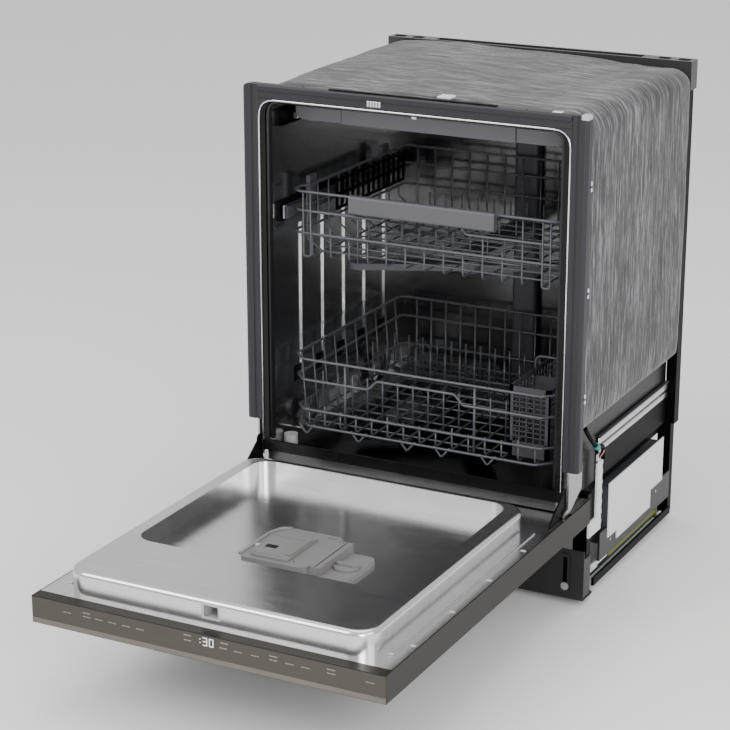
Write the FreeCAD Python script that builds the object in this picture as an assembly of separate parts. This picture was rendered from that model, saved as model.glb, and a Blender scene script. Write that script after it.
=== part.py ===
import FreeCAD, Part
import math
import os

V = FreeCAD.Vector

# Built-in dishwasher with its door lowered and its racks pushed in.
# +Z up, +X to the right of someone facing it, +Y towards the wall behind it.
# Inside this file y = 0 is the face plane of the tub's front frame; save() moves
# everything back so that the origin is the centre of the footprint, on the floor.

# ---- driving dimensions, mm ----
DOOR_REACH = 662.0            # front edge of the lowered door, ahead of the frame plane
BODY_DEPTH = 539.0            # back of the rear brace bar, behind the frame plane
ORIGIN_SHIFT = (DOOR_REACH - BODY_DEPTH) / 2
TRIM_HALF = 309.0             # outer lips of the side trims
FRAME_HALF = 298.0            # front frame, outer half width
OPENING_HALF = 268.0          # front frame opening
TUB_HALF = 270.0              # inner face of the tub side walls
SHEET = 2.0                   # tub sheet
TUB_FRONT = 4.0
TUB_BACK = 500.0
FLOOR_Z = 188.0               # underside of the tub floor
ROOF_Z = 826.0                # inner face of the tub roof
FRAME_TOP = 848.0
OPENING_TOP = 824.0
SILL_TOP = 224.0
TRIM_FOOT = 261.0             # side trims stop here, above the hinges
FRAME_FACE = 1.5              # front face of the steel frame, behind the trims
TRIM_FACE = -2.0              # front face of the trims

PIVOT_Y = -2.5                # door hinge axis, along X
PIVOT_Z = 185.5
DOOR_HALF = 297.5
DOOR_SKIN_Z = 142.0           # the door's outer skin, underneath when lowered
FLANGE_Z = 185.5              # the liner's sealing flange
DOOR_TAIL = 88.0              # lower end of the door, under the tub when lowered
LINER_TOP = 226.0
LINER_HALF = 258.0
LINER_FRONT = -634.0
LINER_REAR = -81.0
PANEL_REAR = -641.0           # back of the control panel strip

RACK_FRONT = 41.0             # nothing in the racks comes nearer the closed door
RACK_BACK = 470.0
WIRE = 4.0
LOWER_HALF = 241.0
LOWER_Z = 244.0
LOWER_TOP = 369.0
UPPER_HALF = 242.0
UPPER_Z = 542.0
UPPER_TOP = 662.0
THIRD_HALF = 250.0
THIRD_Z = 768.0
TINE = 78.0
TINE_FIRST = -220.0
PITCH = 88 / 3                # tine spacing of the lower rack
WHEEL_R = 18.0
WHEEL_Z = 247.0
TUB_MIDDLE_Y = 250.0          # spray arms and sump turn about this line


# ---- helpers ----
def box(x, y, z):
    """Block from three (low, high) spans."""
    size = [max(s) - min(s) for s in (x, y, z)]
    return Part.makeBox(*size, V(min(x), min(y), min(z)))


def rod(start, axis, radius, length):
    return Part.makeCylinder(radius, length, V(*start), V(*axis))


def fuse(shapes):
    if len(shapes) == 1:
        return shapes[0]
    return shapes[0].multiFuse(shapes[1:]).removeSplitter()


def cut(shape, tools):
    return shape.cut(Part.makeCompound(tools)) if isinstance(tools, list) else shape.cut(tools)


def mirror_x(shape):
    return shape.mirror(V(0, 0, 0), V(1, 0, 0))


def pair(shape):
    """The same piece on the right and, mirrored, on the left."""
    return [shape, mirror_x(shape)]


def plate(x, outline):
    """Flat plate between two X values, from an outline of (y, z) points."""
    points = [V(min(x), y, z) for y, z in outline]
    face = Part.Face(Part.makePolygon(points + points[:1]))
    return face.extrude(V(max(x) - min(x), 0, 0))


def round_block(x, y, z, radius, axis="z"):
    """Block whose four edges along one axis are rounded."""
    block = box(x, y, z)
    along = {"x": V(1, 0, 0), "y": V(0, 1, 0), "z": V(0, 0, 1)}[axis]
    edges = [e for e in block.Edges if abs(abs(e.tangentAt(e.FirstParameter).dot(along)) - 1) < 1e-6]
    return block.makeFillet(radius, edges)


def top_edges(shape, z):
    return [e for e in shape.Edges
            if abs(e.BoundBox.ZMin - z) < 1e-4 and abs(e.BoundBox.ZMax - z) < 1e-4]


def grille(normal, at, u_wires, u_span, v_wires, v_span):
    """Welded grille of square wires in a plane.

    u and v are the two other axes in X, Y, Z order. A wire at each u runs along v,
    and a wire at each v runs along u.
    """
    depth = (at, at + WIRE)
    half = WIRE / 2

    def bar(u, v):
        spans = {"x": (depth, u, v), "y": (u, depth, v), "z": (u, v, depth)}[normal]
        return box(*spans)

    bars = [bar((u - half, u + half), v_span) for u in u_wires]
    bars += [bar(u_span, (v - half, v + half)) for v in v_wires]
    return fuse(bars)


def spread(first, last, count):
    step = (last - first) / (count - 1)
    return [first + i * step for i in range(count)]


def save(name, *solids):
    """Write one node, moved so that the origin is under the middle of the part."""
    pieces = [p for s in solids for p in (s if isinstance(s, list) else [s])]
    shape = pieces[0] if len(pieces) == 1 else Part.makeCompound(pieces)
    shape = shape.copy()
    shape.translate(V(0, ORIGIN_SHIFT, 0))
    loose = [s for s in shape.Solids if not s.isValid() or s.Volume <= 0]
    print(f"{name:24s} solids {len(shape.Solids):3d} volume {shape.Volume / 1000:9.1f} cm3"
          f"{'  BAD' if loose else ''}")
    shape.exportStep(f"parts/{name}.step")


# ---- tub ----
def tub_side_wall():
    """Right wall of the tub wrap, with upright ribs pressed outwards."""
    wall = box((TUB_HALF, TUB_HALF + SHEET), (TUB_FRONT, TUB_BACK), (FLOOR_Z, ROOF_Z + SHEET))
    rib_depth = 3.0
    for y in spread(110, 430, 5):
        bulge = box((TUB_HALF + SHEET, TUB_HALF + SHEET + rib_depth - 1), (y - 18, y + 18), (300, 590))
        hollow = box((TUB_HALF - 1, TUB_HALF + rib_depth), (y - 16, y + 16), (302, 588))
        wall = wall.fuse(bulge).cut(hollow)
    return wall.removeSplitter()


def tub():
    roof = box((-TUB_HALF, TUB_HALF), (TUB_FRONT, TUB_BACK), (ROOF_Z, ROOF_Z + SHEET))
    ledge = box((244, TUB_HALF), (75, 496), (226, 228.5))
    save("tub_wrap", pair(tub_side_wall()), roof, pair(ledge))

    back = box((-TUB_HALF - SHEET, TUB_HALF + SHEET), (TUB_BACK, TUB_BACK + SHEET),
               (FLOOR_Z, ROOF_Z + SHEET))
    save("tub_back", back)

    floor = box((-TUB_HALF, TUB_HALF), (TUB_FRONT, TUB_BACK), (FLOOR_Z, FLOOR_Z + 3))
    floor = floor.cut(rod((0, TUB_MIDDLE_Y, FLOOR_Z - 1), (0, 0, 1), 84, 5))
    lip = box((-TUB_HALF, TUB_HALF), (TUB_FRONT, TUB_FRONT + SHEET), (FLOOR_Z + 3, SILL_TOP))
    save("tub_floor", floor, lip)


def front_frame():
    post_upper = box((OPENING_HALF, FRAME_HALF), (FRAME_FACE, TUB_FRONT), (262, FRAME_TOP))
    post_lower = box((OPENING_HALF, 281), (FRAME_FACE, TUB_FRONT), (205, 262))
    side_return = box((FRAME_HALF - 2, FRAME_HALF), (TUB_FRONT, 15), (262, FRAME_TOP))
    post = fuse([post_upper, post_lower, side_return])
    rail = box((-OPENING_HALF, OPENING_HALF), (FRAME_FACE, TUB_FRONT), (OPENING_TOP, FRAME_TOP))
    top_return = box((-FRAME_HALF + 2, FRAME_HALF - 2), (TUB_FRONT, 15.5), (FRAME_TOP - 2, FRAME_TOP))
    rail = fuse([rail, top_return])
    for x in (-200, 200):
        rail = rail.cut(rod((x, 10, FRAME_TOP - 3), (0, 0, 1), 2.5, 5))
    sill = box((-OPENING_HALF, OPENING_HALF), (FRAME_FACE, TUB_FRONT), (205, SILL_TOP))
    corner = 24.0
    web = box((OPENING_HALF - corner, OPENING_HALF), (FRAME_FACE, TUB_FRONT),
              (OPENING_TOP - corner, OPENING_TOP))
    web = web.cut(rod((OPENING_HALF - corner, 0, OPENING_TOP - corner), (0, 1, 0), corner, 10))
    save("front_frame", pair(post), rail, sill, pair(web))


def trims_and_gasket():
    face_inner = 281.0
    outline_z = (TRIM_FOOT, FRAME_TOP)
    face = box((face_inner, TRIM_HALF), (TRIM_FACE, 1.3), outline_z)
    lip = box((TRIM_HALF - 3, TRIM_HALF), (1.3, 16), outline_z)
    trim = fuse([face, lip])
    outer_corner = [e for e in trim.Edges
                    if abs(e.BoundBox.XMin - TRIM_HALF) < 1e-4 and abs(e.BoundBox.ZMin - FRAME_TOP) < 1e-4]
    trim = trim.makeFillet(10.0, outer_corner)
    save("side_trims", pair(trim))
    save("top_trim", box((-face_inner, face_inner), (TRIM_FACE, 1.3), (OPENING_TOP + 1, FRAME_TOP)))

    depth = (TUB_FRONT + 2, 15)
    side = box((262.5, 268.5), depth, (SILL_TOP + 2, 818.5))
    head = box((-268.5, 268.5), depth, (818.5, 824.5))
    save("door_gasket", pair(side), head)

    strike = fuse([box((-16, 16), (15.4, 30), (ROOF_Z - 2.5, ROOF_Z)),
                   box((-4, 4), (17, 23), (812, ROOF_Z - 2))])
    save("latch_strike", strike)


def hinge_hardware():
    """Fixed brackets with their pins, and the arms that the door turns on."""
    bracket_x = (289, 292)
    gusset = plate(bracket_x, [(4.1, 188), (4.1, 300), (16, 300), (60, 256), (60, 215), (12, 188)])
    boss = rod((bracket_x[0], PIVOT_Y, PIVOT_Z), (1, 0, 0), 10, 3)
    ear = plate(bracket_x, [(PIVOT_Y, 188), (4.1, 188), (4.1, 196), (PIVOT_Y, 195.5)])
    pin = rod((283.4, PIVOT_Y, PIVOT_Z), (1, 0, 0), 4, 7)
    save("hinge_brackets", pair(fuse([gusset, boss, ear, pin])))

    arm_x = (284, 287)
    tip_z = PIVOT_Z + 40
    arm = fuse([
        rod((arm_x[0], PIVOT_Y, PIVOT_Z), (1, 0, 0), 11, 3),
        plate(arm_x, [(PIVOT_Y - 9, PIVOT_Z), (PIVOT_Y - 7, tip_z), (PIVOT_Y + 7, tip_z), (PIVOT_Y + 9, PIVOT_Z)]),
        rod((arm_x[0], PIVOT_Y, tip_z), (1, 0, 0), 8, 3),
        box(arm_x, (-165, PIVOT_Y), (150, 182)),
    ])
    arm = arm.cut(rod((arm_x[0] - 1, PIVOT_Y, PIVOT_Z), (1, 0, 0), 4.1, 5))
    arm = arm.cut(rod((arm_x[0] - 1, PIVOT_Y, tip_z), (1, 0, 0), 3, 5))
    save("hinge_arms", pair(arm))


# ---- jacket, rear bar and base ----
def jacket():
    side = box((276, 303), (16, 505), (323, 829))
    top = box((-303, 303), (16, 505), (829, 849))
    outer = [e for e in top.Edges
             if abs(e.BoundBox.ZMin - 849) < 1e-4 and e.BoundBox.XLength < 1e-4 and e.BoundBox.ZLength < 1e-4]
    save("sound_blanket", pair(side), top.makeFillet(14.0, outer))

    bar_y = (507, BODY_DEPTH)
    beam = box((-295, 295), bar_y, (830, 852))
    beam = beam.cut(box((-200, 200), (513, 534), (834, 853)))
    end = box((258, 295), bar_y, (801, 830))
    bar = fuse([beam] + pair(end))
    for x in (-277, -240, 240, 277):
        bar = bar.cut(round_block((x - 11, x + 11), (514, 532), (838, 853), 4))
    save("rear_brace_bar", bar)
    save("rear_posts", pair(box((274, 293), (507, 530), (186, 801))))


def base():
    front_post = box((262, 287), (104, 122), (12, 185))
    front_post = front_post.cut(rod((275, 113, 11), (0, 0, 1), 5.5, 60))
    rear_post = box((262, 287), (507, 525), (12, 186))
    low_rail = box((262, 272), (122, 507), (12, 22))
    high_rail = box((262, 270), (122, 507), (172, 187.9))
    front_beam = box((-262, 262), (104, 122), (12, 38))
    rear_beam = box((-262, 262), (507, BODY_DEPTH - 6), (12, 62))
    rear_beam = rear_beam.cut(rod((0, 516, 11), (0, 0, 1), 5.5, 45))
    save("base_frame", pair(front_post), pair(rear_post), pair(low_rail), pair(high_rail),
         front_beam, rear_beam)

    kick = box((-300, 300), (62, 64), (11, 100))
    fold = box((-300, 300), (64, 104), (11, 13))
    kick = fuse([kick, fold])
    for x in (-267, 267):
        kick = kick.cut(round_block((x - 4, x + 4), (60, 66), (28, 86), 3.9, "y"))
    save("toe_kick", kick)
    screw = fuse([rod((267, 59.6, 33), (0, 1, 0), 7, 2.4), rod((267, 62, 33), (0, 1, 0), 3, 42)])
    save("toe_kick_screws", pair(screw))

    pad = rod((0, 0, 0), (0, 0, 1), 17, 6).fuse(rod((0, 0, 6), (0, 0, 1), 5, 40))
    pad = pad.fuse(rod((0, 0, 6), (0, 0, 1), 9, 5))
    for name, x, y in (("front_left_foot", -275, 113), ("front_right_foot", 275, 113), ("rear_foot", 0, 516)):
        foot = pad.copy()
        foot.translate(V(x, y, 0))
        save(name, foot)


def spring_set():
    sleeve_at = (279.5, 214, 35)
    sleeve = rod(sleeve_at, (0, 1, 0), 6.5, 232).cut(rod((279.5, 213, 35), (0, 1, 0), 5, 234))
    anchor = box((272, 287), (446, 450), (22, 42))
    save("spring_sleeves", pair(fuse([sleeve, anchor])))
    link = fuse([box((277.5, 281.5), (142, 172), (29, 41)), rod((279.5, 170, 35), (0, 1, 0), 3, 70)])
    link = link.cut(rod((277, 148, 35), (1, 0, 0), 3, 5))
    save("spring_links", pair(link))


# ---- works under the tub ----
def machinery():
    bowl = rod((0, TUB_MIDDLE_Y, 120), (0, 0, 1), 95, 68).cut(rod((0, TUB_MIDDLE_Y, 124), (0, 0, 1), 83, 65))
    save("sump", bowl)

    grip_z = 203.0
    screen = rod((0, TUB_MIDDLE_Y + 55, 130), (0, 0, 1), 24, grip_z - 130 - 10)
    rim = rod((0, TUB_MIDDLE_Y + 55, grip_z - 10), (0, 0, 1), 27, 4)
    grip = box((-20, 20), (TUB_MIDDLE_Y + 52, TUB_MIDDLE_Y + 58), (grip_z - 6, grip_z))
    save("filter", fuse([screen, rim, grip]))

    volute = rod((60, TUB_MIDDLE_Y - 40, 62), (0, 0, 1), 52, 56)
    motor = rod((60, TUB_MIDDLE_Y - 40, 30), (0, 0, 1), 36, 32)
    save("circulation_pump", fuse([volute, motor]))

    drain_body = rod((-80, 300, 62), (0, 0, 1), 34, 50)
    boss = rod((-80, 316, 88), (0, 1, 0), 15, 20)
    spigot = rod((-80, 330, 88), (0, 1, 0), 11, 56)
    save("drain_pump", fuse([drain_body, boss, spigot]))

    valve = fuse([box((-250, -205), (132, 178), (50, 104)), rod((-228, 155, 28), (0, 0, 1), 13.2, 24),
                  rod((-228, 155, 100), (0, 0, 1), 12, 40), box((-250, -205), (122, 136), (38, 50)),
                  box((-250, -205), (104, 136), (38, 42))])
    save("water_inlet_valve", valve)

    case = box((232, 289), (193, 460), (62, 168))
    case = case.cut(box((235, 290), (196, 457), (65, 165)))
    case = case.fuse(box((232, 262), (235, 420), (168, 187.9)))
    save("control_box", case.removeSplitter())
    sheet = plate((289.2, 291), [(193, 76), (236, 76), (236, 60), (401, 60), (401, 93), (460, 93),
                                 (460, 176), (193, 176)])
    save("control_box_cover", sheet)

    bracket = plate((287, 290.5), [(104, 107), (157, 107), (157, 247), (135, 247), (135, 135), (104, 135)])
    save("wiring_bracket", bracket)
    save("wiring_harness", harness())


def harness():
    """Leads clipped between the tub side and the wiring bracket."""
    route = [V(295, 60, 318), V(295, 88, 290), V(295, 116, 268), V(295, 146, 262), V(295, 146, 238)]
    radii = []
    edges = []
    start = route[0]
    for before, corner, after in zip(route, route[1:], route[2:]):
        back = before.sub(corner)
        ahead = after.sub(corner)
        half_turn = (math.pi - back.getAngle(ahead)) / 2
        trim = 0.45 * min(back.Length, ahead.Length)
        radius = trim / math.tan(half_turn)
        radii.append(round(radius, 1))
        leave = corner.add(back.normalize().multiply(trim))
        join = corner.add(ahead.normalize().multiply(trim))
        edges.append(Part.LineSegment(start, leave).toShape())
        edges.append(tangent_arc(leave, corner, join, half_turn, radius))
        start = join
    edges.append(Part.LineSegment(start, route[-1]).toShape())
    print("harness bend radii", radii)
    wire = Part.Wire(edges)
    section = Part.Wire(Part.makeCircle(4.0, route[0], route[1].sub(route[0])))
    return wire.makePipeShell([section], True, True)


def tangent_arc(leave, corner, join, half_turn, radius):
    """Arc tangent to the two runs that meet at a corner."""
    inward = leave.add(join).multiply(0.5).sub(corner).normalize()
    to_centre = radius / math.cos(half_turn)
    middle = corner.add(V(inward).multiply(to_centre - radius))
    return Part.Arc(leave, middle, join).toShape()


# ---- things inside the tub ----
def tub_fittings():
    hub = rod((0, TUB_MIDDLE_Y, 200), (0, 0, 1), 30, 24)
    arms = [hub]
    for angle, reach in ((35, 205), (125, 175), (215, 205), (305, 175)):
        blade = round_block((0, reach), (-21, 21), (206, 220), 20.5)
        blade.rotate(V(0, 0, 0), V(0, 0, 1), angle)
        blade.translate(V(0, TUB_MIDDLE_Y, 0))
        arms.append(blade)
    bore = rod((0, TUB_MIDDLE_Y, 199), (0, 0, 1), 12.1, 18)
    save("lower_spray_arm", fuse(arms).cut(bore))

    cover = rod((0, TUB_MIDDLE_Y, FLOOR_Z + 3.0), (0, 0, 1), 100, 3).cut(
        rod((0, TUB_MIDDLE_Y + 55, FLOOR_Z + 2), (0, 0, 1), 28, 6))
    stub = rod((0, TUB_MIDDLE_Y, FLOOR_Z + 3), (0, 0, 1), 12, 21)
    save("sump_cover", fuse([cover, stub]))

    bell = rod((-255, 55, FLOOR_Z + 3.3), (0, 0, 1), 12, 30).cut(rod((-255, 55, FLOOR_Z + 3), (0, 0, 1), 10, 24))
    save("float", bell)

    duct = round_block((-24, 24), (480, TUB_BACK), (FLOOR_Z + 3, 806), 8, "z")
    duct_head = box((-24, 24), (TUB_MIDDLE_Y, TUB_BACK), (806, 816))
    outlet = rod((0, TUB_MIDDLE_Y, 798), (0, 0, 1), 34, 18)
    lug = box((-10, 10), (TUB_MIDDLE_Y - 10, TUB_MIDDLE_Y + 10), (816, ROOF_Z))
    save("rear_water_duct", duct, fuse([duct_head, outlet, lug]))

    upper = cut(box((262, TUB_HALF), (45, 476), (606, 638)), box((261, 266), (44, 477), (609, 635)))
    third = cut(box((262, TUB_HALF), (45, 476), (770, 796)), box((261, 266), (44, 477), (773, 793)))
    save("wall_rails", pair(upper), pair(third))


# ---- door ----
def door():
    skin_t = 1.5
    skin = box((-DOOR_HALF, DOOR_HALF), (PANEL_REAR, DOOR_TAIL), (DOOR_SKIN_Z, DOOR_SKIN_Z + skin_t))
    side = box((DOOR_HALF - skin_t, DOOR_HALF), (PANEL_REAR, DOOR_TAIL), (DOOR_SKIN_Z, FLANGE_Z))
    tail = box((-DOOR_HALF, DOOR_HALF), (DOOR_TAIL - skin_t, DOOR_TAIL), (DOOR_SKIN_Z, 170))
    pocket_x = (-112, 112)
    pocket_y = (-634, -582)
    shell = fuse([skin, tail] + pair(side)).cut(box(pocket_x, pocket_y, (DOOR_SKIN_Z - 1, DOOR_SKIN_Z + 3)))
    save("door_outer_panel", shell)

    scoop = box(pocket_x, pocket_y, (DOOR_SKIN_Z, 174))
    scoop = scoop.cut(box((-110, 110), (-632, -584), (DOOR_SKIN_Z - 1, 172)))
    save("pocket_handle", scoop)

    t = 1.2
    raised = round_block((-LINER_HALF, LINER_HALF), (LINER_FRONT, LINER_REAR), (FLANGE_Z, LINER_TOP), 36)
    raised = raised.makeFillet(9.0, top_edges(raised, LINER_TOP))
    inner = round_block((-LINER_HALF + t, LINER_HALF - t), (LINER_FRONT + t, LINER_REAR - t),
                        (FLANGE_Z - 5, LINER_TOP - t), 34.8)
    inner = inner.makeFillet(7.8, top_edges(inner, LINER_TOP - t))
    recess_floor = 195.0
    recess_x, recess_y = 230.0, (-486.0, -94.0)
    recess = round_block((-recess_x, recess_x), recess_y, (recess_floor, LINER_TOP + 5), 30)
    grown = round_block((-recess_x - t, recess_x + t), (recess_y[0] - t, recess_y[1] + t),
                        (recess_floor - t, LINER_TOP + 5), 31.2)
    flange = box((-DOOR_HALF + 2, DOOR_HALF - 2), (PANEL_REAR, DOOR_TAIL - 2), (FLANGE_Z - t, FLANGE_Z))
    liner = raised.fuse(flange).cut(inner.cut(grown)).cut(recess)
    hinge_notch = box((283, 298), (PIVOT_Y - 14, PIVOT_Y + 14), (FLANGE_Z - 3, FLANGE_Z + 1))
    latch_hole = box((-12, 12), (LINER_FRONT - 1, LINER_FRONT + 3), (199, 217))
    liner = cut(liner, pair(hinge_notch) + [latch_hole])
    save("door_inner_liner", liner.removeSplitter())

    strip = box((-DOOR_HALF, DOOR_HALF), (-DOOR_REACH, PANEL_REAR), (DOOR_SKIN_Z, FLANGE_Z))
    window_x, window_z = (-30, 70), (158, 178)
    strip = strip.cut(box(window_x, (-DOOR_REACH - 1, -DOOR_REACH + 1.5), window_z))
    strip = strip.cut(box((-290, 290), (-655, PANEL_REAR + 1), (DOOR_SKIN_Z + 3, FLANGE_Z - 3)))
    save("control_panel", strip)
    save("control_display", box(window_x, (-DOOR_REACH + 0.2, -DOOR_REACH + 1.5), window_z))

    pad = box((-280, 280), (-578, -175), (DOOR_SKIN_Z + skin_t, 180))
    save("door_insulation", pad)

    housing = box((-24, 24), (LINER_FRONT + 4, -590), (FLANGE_Z, 221))
    housing = housing.cut(box((-12, 12), (LINER_FRONT, -606), (199, 217)))
    save("door_latch", housing)


def dispenser():
    base_z = 195.0
    body = round_block((-64, 52), (-452, -318), (base_z, 217), 14)
    body = body.fuse(plate((52, 70), [(-440, base_z), (-440, 217), (-330, 217), (-330, base_z)]))
    side_bed = round_block((52, 116), (-446, -336), (base_z, 203), 12)
    body = body.fuse(side_bed)
    cup = round_block((-42, 14), (-438, -352), (199, 220), 8)
    body = body.cut(cup)
    tank_seat = rod((92, -391, base_z + 3), (0, 0, 1), 20.2, 10)
    body = body.cut(tank_seat).cut(rod((-56, -405, 207), (0, 0, 1), 4.3, 12))
    save("dispenser_body", body.removeSplitter())

    lid = round_block((-48, 18), (-444, -346), (217.4, 221), 6)
    grip = box((8, 16), (-430, -360), (221, 224))
    save("detergent_lid", lid.fuse(grip))
    save("dispenser_button", rod((-56, -405, 211), (0, 0, 1), 4, 8.5))

    cap = rod((92, -391, base_z + 3.5), (0, 0, 1), 20, 8)
    cap = cap.fuse(round_block((75, 109), (-395, -387), (base_z + 11, 211), 3.9))
    save("rinse_aid_cap", cap)


# ---- racks ----
def basket_walls(half, floor_z, top_z, rows, front_y, back_y, columns, ribs):
    """Front, back and side grilles of a wire basket, each a flat solid that meets the next."""
    x_span = (-half, half)
    y_span = (front_y + WIRE, back_y)
    z_span = (floor_z, top_z)
    x_wires = spread(-half + WIRE / 2, half - WIRE / 2, columns)
    y_wires = spread(front_y + WIRE * 1.5, back_y - WIRE / 2, ribs)
    front = grille("y", front_y, x_wires, x_span, rows, z_span)
    back = grille("y", back_y, x_wires, x_span, rows, z_span)
    side = grille("x", half - WIRE, y_wires, y_span, rows, z_span)
    floor = grille("z", floor_z, spread(-half + WIRE * 1.5, half - WIRE * 1.5, columns),
                   (-half + WIRE, half - WIRE), y_wires, y_span)
    return [front, back] + pair(side) + [floor]


def tine_row(y, foot_z, height, x_first, pitch, count):
    """A rod along X with upright tines standing on it, each its own solid."""
    half = WIRE / 2
    across = (y - half, y + half)
    lines = [x_first + i * pitch for i in range(count)]
    beam = box((lines[0] - WIRE, lines[-1] + WIRE), across, (foot_z, foot_z + WIRE))
    return [beam] + [box((x - half, x + half), across, (foot_z + WIRE, foot_z + height)) for x in lines]


def lower_rack():
    rows = [LOWER_Z + WIRE / 2, 276, 329, LOWER_TOP - WIRE / 2]
    walls = basket_walls(LOWER_HALF, LOWER_Z, LOWER_TOP, rows, RACK_FRONT, RACK_BACK, 12, 10)
    floor_top = LOWER_Z + WIRE
    fixed = tine_row(110, floor_top, TINE, TINE_FIRST, PITCH, 13)
    fixed += tine_row(300, floor_top, TINE, TINE_FIRST, PITCH, 16)
    axles = []
    for y in (120, 400):
        carrier = box((LOWER_HALF, LOWER_HALF + 2.5), (y - 16, y + 16), (LOWER_Z - 8, 280))
        axles += pair(carrier.fuse(rod((LOWER_HALF, y, WHEEL_Z), (1, 0, 0), 4, 17)))
    save("lower_rack", walls, fixed, axles)

    for name, y in (("lower_front_wheels", 120), ("lower_rear_wheels", 400)):
        wheel = rod((246, y, WHEEL_Z), (1, 0, 0), WHEEL_R, 12)
        wheel = wheel.cut(rod((245, y, WHEEL_Z), (1, 0, 0), 4.1, 14))
        groove = rod((256, y, WHEEL_Z), (1, 0, 0), 14, 3).cut(rod((256, y, WHEEL_Z), (1, 0, 0), 8, 3))
        save(name, pair(wheel.cut(groove)))

    save("lower_tine_row", tine_row(390, floor_top + 1.2, TINE, TINE_FIRST, PITCH, 16))


def cutlery_basket():
    x, y, z = (158, 232), (60, 262), (250, 373)
    wall = 2.5
    bars_z = spread(z[0] + 12, z[1] - 4, 6)

    front = grille("y", y[0], spread(x[0] + 4, x[1] - 4, 5), x, bars_z, z)
    back = grille("y", y[1] - WIRE, spread(x[0] + 4, x[1] - 4, 5), x, bars_z, z)
    inner_y = (y[0] + WIRE, y[1] - WIRE)
    side_wires = spread(inner_y[0] + 8, inner_y[1] - 8, 11)
    right = grille("x", x[1] - WIRE, side_wires, inner_y, bars_z, z)
    left = grille("x", x[0], side_wires, inner_y, bars_z, z)
    floor = box((x[0] + WIRE, x[1] - WIRE), inner_y, (z[0], z[0] + wall))
    middle = (y[0] + y[1]) / 2
    divider = box((x[0] + WIRE, x[1] - WIRE), (middle - 1.25, middle + 1.25), (z[0] + wall, z[1] - 10))
    handle = grille("y", middle - 2, [x[0] + 6, x[1] - 6], (x[0] + 4, x[1] - 4), [398], (z[1] - 10, 400))
    save("cutlery_basket", front, back, right, left, floor, divider, handle)


def upper_rack():
    front_y = 54.0
    rows = [UPPER_Z + WIRE / 2, 588, 627, UPPER_TOP - WIRE / 2]
    walls = basket_walls(UPPER_HALF, UPPER_Z, UPPER_TOP, rows, front_y, RACK_BACK - 2, 12, 10)
    foot = UPPER_Z + WIRE
    fixed = [wire for y in (150, 270, 390) for wire in tine_row(y, foot, 52, -150, 32, 11)]
    feed = fuse([box((-18, 18), (TUB_MIDDLE_Y - 25, RACK_BACK + 4), (529, 541.9)),
                 rod((0, TUB_MIDDLE_Y, 500), (0, 0, 1), 9, 30)])
    save("upper_rack", walls, fixed)
    save("upper_spray_feed", feed)

    reach = 215
    blade = round_block((-reach, reach), (TUB_MIDDLE_Y - 19, TUB_MIDDLE_Y + 19), (506, 518), 18.5)
    blade.rotate(V(0, TUB_MIDDLE_Y, 0), V(0, 0, 1), 25)
    boss = rod((0, TUB_MIDDLE_Y, 503), (0, 0, 1), 24, 22)
    bore = rod((0, TUB_MIDDLE_Y, 502), (0, 0, 1), 9.1, 25)
    save("upper_spray_arm", fuse([blade, boss]).cut(bore))

    bar = round_block((-133, 133), (RACK_FRONT, front_y), (633, 666), 6, "x")
    save("upper_rack_handle", bar)

    shelf_x = (-236, -232)
    panel = grille("x", shelf_x[0], spread(190, 450, 14), (188, 452), [600, 625, 650], (598, 656))
    save("cup_shelf", panel)

    inner_rail = box((250.5, 254.5), (45, 468), (612, 632))
    posts = [box((UPPER_HALF + 0.5, 250.5), (y - 12, y + 12), (596, 674)) for y in (122, 395)]
    save("upper_inner_rails", pair(fuse([inner_rail] + posts)))
    mid = cut(box((255, 260.8), (46, 472), (610.5, 633.5)), box((254, 257), (45, 473), (611.5, 632.5)))
    tongue = box((260.8, 265), (230, 472), (616, 628))
    save("upper_mid_rails", pair(mid.fuse(tongue).removeSplitter()))


def third_rack():
    front_y = 78.0
    back_y = 466.0
    rim = [THIRD_Z + WIRE / 2, 792]
    walls = basket_walls(THIRD_HALF, THIRD_Z, 794, rim, front_y, back_y, 14, 10)
    runners = pair(fuse([box((THIRD_HALF, 260), (front_y + 4, back_y), (778, 788)),
                         box((260, 265), (420, 464), (779, 787))]))
    save("third_rack", walls, runners)
    bar = fuse([round_block((-158, 158), (front_y - 15, front_y), (779, 806), 5, "x")]
               + pair(box((158, 246), (front_y - 11, front_y), (781, 804))))
    save("third_rack_bar", bar)


os.makedirs("parts", exist_ok=True)
tub()
front_frame()
trims_and_gasket()
hinge_hardware()
jacket()
base()
spring_set()
machinery()
tub_fittings()
door()
dispenser()
lower_rack()
cutlery_basket()
upper_rack()
third_rack()
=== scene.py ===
import bmesh
import bpy
import math
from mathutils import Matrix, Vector, noise


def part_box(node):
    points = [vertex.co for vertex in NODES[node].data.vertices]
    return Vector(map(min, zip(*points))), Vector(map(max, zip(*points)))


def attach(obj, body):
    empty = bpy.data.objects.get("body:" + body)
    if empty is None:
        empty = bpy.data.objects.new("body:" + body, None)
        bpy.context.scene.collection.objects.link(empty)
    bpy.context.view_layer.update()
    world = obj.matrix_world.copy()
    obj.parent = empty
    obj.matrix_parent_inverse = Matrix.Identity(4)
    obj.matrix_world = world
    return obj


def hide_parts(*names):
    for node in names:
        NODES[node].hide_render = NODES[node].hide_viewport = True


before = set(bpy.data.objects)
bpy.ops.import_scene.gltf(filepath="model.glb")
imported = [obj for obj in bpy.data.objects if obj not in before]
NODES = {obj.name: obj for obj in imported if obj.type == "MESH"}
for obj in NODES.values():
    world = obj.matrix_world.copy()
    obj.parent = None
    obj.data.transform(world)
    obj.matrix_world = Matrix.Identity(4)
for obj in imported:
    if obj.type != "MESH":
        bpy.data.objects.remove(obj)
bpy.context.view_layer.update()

# The CAD is described from the face plane of the tub's front frame, in mm.
# at() turns such a point into the frame's metres.
FACE_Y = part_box("top_trim")[0].y + 0.002
MM = 0.001

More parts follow.
